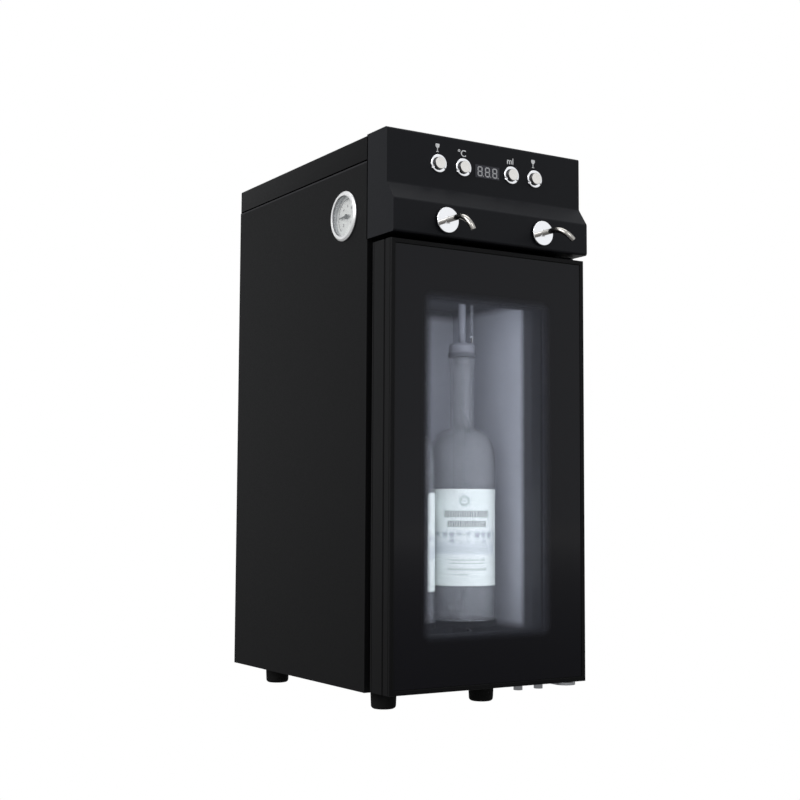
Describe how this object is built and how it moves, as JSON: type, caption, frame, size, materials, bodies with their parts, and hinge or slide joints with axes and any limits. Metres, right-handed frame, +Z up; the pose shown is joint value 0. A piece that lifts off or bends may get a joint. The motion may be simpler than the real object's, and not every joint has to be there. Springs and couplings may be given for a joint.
{
  "type": "wine preservation dispenser",
  "caption": "Tall chilled counter-top cabinet that keeps opened wine under gas and pours it: glazed hinged door, control head with push buttons and curved spouts, side pressure gauge.",
  "frame": {"origin": "on the counter, under the middle of the object's bounding box", "axes": "+Z up, +X to the user's right and +Y to the back; the door, spouts and buttons face -Y"},
  "size_m": [0.254, 0.423, 0.6],
  "materials": {
    "casing_paint": "black satin powder coat",
    "black_moulding": "fine satin black moulding",
    "black_extrusion": "black anodised extrusion",
    "bordered_glass": "smoked safety glass with a black printed border",
    "clear_glass": "clear float glass",
    "bottle_glass": "grey-green bottle glass",
    "bright_chrome": "mirror polished plating",
    "polished_stainless": "polished stainless steel",
    "stainless": "brushed stainless steel",
    "zinc_steel": "bright zinc plate",
    "spring_steel": "bright drawn wire",
    "bare_aluminium": "mill finish",
    "nickel_brass": "machined brass",
    "black_rubber": "black rubber",
    "grey_silicone": "food-grade silicone",
    "liner_plastic": "light grey moulded liner",
    "insulating_foam": "closed-cell foam",
    "clear_tubing": "clear flexible tubing",
    "circuit_board": "green circuit board",
    "smoked_lens": "smoked display window",
    "white_dial": "white enamelled dial",
    "needle_black": "black enamel",
    "light_diffuser": "opal diffuser",
    "ceramic": "white ceramic",
    "nylon": "natural nylon"
  },
  "bodies": {
    "cabinet": {"left_side_panel": "casing_paint", "right_side_panel": "casing_paint", "top_lid": "casing_paint", "rear_panel": "casing_paint", "base_plate": "casing_paint", "front_frame": "casing_paint", "inner_liner": "liner_plastic", "insulation_foam": "insulating_foam", "inner_bulkhead": "zinc_steel", "head_fascia": "black_moulding", "control_board": "circuit_board", "display_lens": "smoked_lens", "button_housings": "bright_chrome", "solenoid_valves": "stainless", "tap_escutcheons": "polished_stainless", "wine_lines": "clear_tubing", "gas_lines": "clear_tubing", "gas_manifold": "bare_aluminium", "gas_inlet_fitting": "nickel_brass", "stopper_heads": "stainless", "bottle_stoppers": "grey_silicone", "gauge_case": "zinc_steel", "gauge_bezel": "bright_chrome", "gauge_dial": "white_dial", "gauge_glass": "clear_glass", "led_bar": "light_diffuser", "cold_sink": "bare_aluminium", "thermoelectric_module": "ceramic", "hot_sink": "bare_aluminium", "rear_fan_frame": "black_moulding", "fan_guard": "bright_chrome", "fan_cover": "liner_plastic", "power_supply": "zinc_steel", "power_inlet": "black_moulding", "tray_guides": "stainless", "feet": "black_rubber", "hinge_brackets": "zinc_steel", "fasteners": "zinc_steel"},
    "door": {"door_frame": "black_extrusion", "door_backer": "black_moulding", "door_glass": "bordered_glass", "inner_glass": "clear_glass", "glass_spacer": "bare_aluminium", "door_gasket": "black_rubber", "hinge_bushes": "nylon"},
    "button_1": {"button_1": "bright_chrome"},
    "button_2": {"button_2": "bright_chrome"},
    "button_3": {"button_3": "bright_chrome"},
    "button_4": {"button_4": "bright_chrome"},
    "spout_left": {"spout_left": "polished_stainless"},
    "spout_right": {"spout_right": "polished_stainless"},
    "lift_left": {"tray_left": "stainless", "bottle_left": "bottle_glass", "lift_spring_left": "spring_steel"},
    "lift_right": {"tray_right": "stainless", "bottle_right": "bottle_glass", "lift_spring_right": "spring_steel"},
    "gauge_needle": {"gauge_needle": "needle_black"},
    "rear_fan_rotor": {"rear_fan_rotor": "black_moulding"},
    "inner_fan_rotor": {"inner_fan_rotor": "black_moulding"}
  },
  "joints": [
    {"name": "door_hinge", "type": "hinge", "parent": "cabinet", "child": "door", "pos_m": [0.113, -0.14154, 0.2525], "axis": [0, 0, 1], "range_deg": [0, 110]},
    {"name": "button_1_press", "type": "slide", "parent": "cabinet", "child": "button_1", "axis": [0, 1, 0], "range_m": [0, 0.0015], "stiffness_N_per_m": 300, "springref_m": -0.003},
    {"name": "button_2_press", "type": "slide", "parent": "cabinet", "child": "button_2", "axis": [0, 1, 0], "range_m": [0, 0.0015], "stiffness_N_per_m": 300, "springref_m": -0.003},
    {"name": "button_3_press", "type": "slide", "parent": "cabinet", "child": "button_3", "axis": [0, 1, 0], "range_m": [0, 0.0015], "stiffness_N_per_m": 300, "springref_m": -0.003},
    {"name": "button_4_press", "type": "slide", "parent": "cabinet", "child": "button_4", "axis": [0, 1, 0], "range_m": [0, 0.0015], "stiffness_N_per_m": 300, "springref_m": -0.003},
    {"name": "spout_left_swivel", "type": "hinge", "parent": "cabinet", "child": "spout_left", "pos_m": [-0.062, -0.16754, 0.506], "axis": [0, 1, 0], "range_deg": [-45, 45]},
    {"name": "spout_right_swivel", "type": "hinge", "parent": "cabinet", "child": "spout_right", "pos_m": [0.062, -0.16754, 0.506], "axis": [0, 1, 0], "range_deg": [-45, 45]},
    {"name": "lift_left_slide", "type": "slide", "parent": "cabinet", "child": "lift_left", "axis": [0, 0, 1], "range_m": [-0.02, 0], "stiffness_N_per_m": 500, "springref_m": 0.05, "deforming": ["lift_spring_left"]},
    {"name": "lift_right_slide", "type": "slide", "parent": "cabinet", "child": "lift_right", "axis": [0, 0, 1], "range_m": [-0.02, 0], "stiffness_N_per_m": 500, "springref_m": 0.05, "deforming": ["lift_spring_right"]},
    {"name": "needle_pivot", "type": "hinge", "parent": "cabinet", "child": "gauge_needle", "pos_m": [-0.121, -0.06424, 0.5218], "axis": [1, 0, 0], "range_deg": [-45, 225]},
    {"name": "rear_fan_spin", "type": "hinge", "parent": "cabinet", "child": "rear_fan_rotor", "pos_m": [0, 0.18646, 0.255], "axis": [0, 1, 0], "continuous": true},
    {"name": "inner_fan_spin", "type": "hinge", "parent": "cabinet", "child": "inner_fan_rotor", "pos_m": [0, 0.03146, 0.255], "axis": [0, 1, 0], "continuous": true}
  ]
}
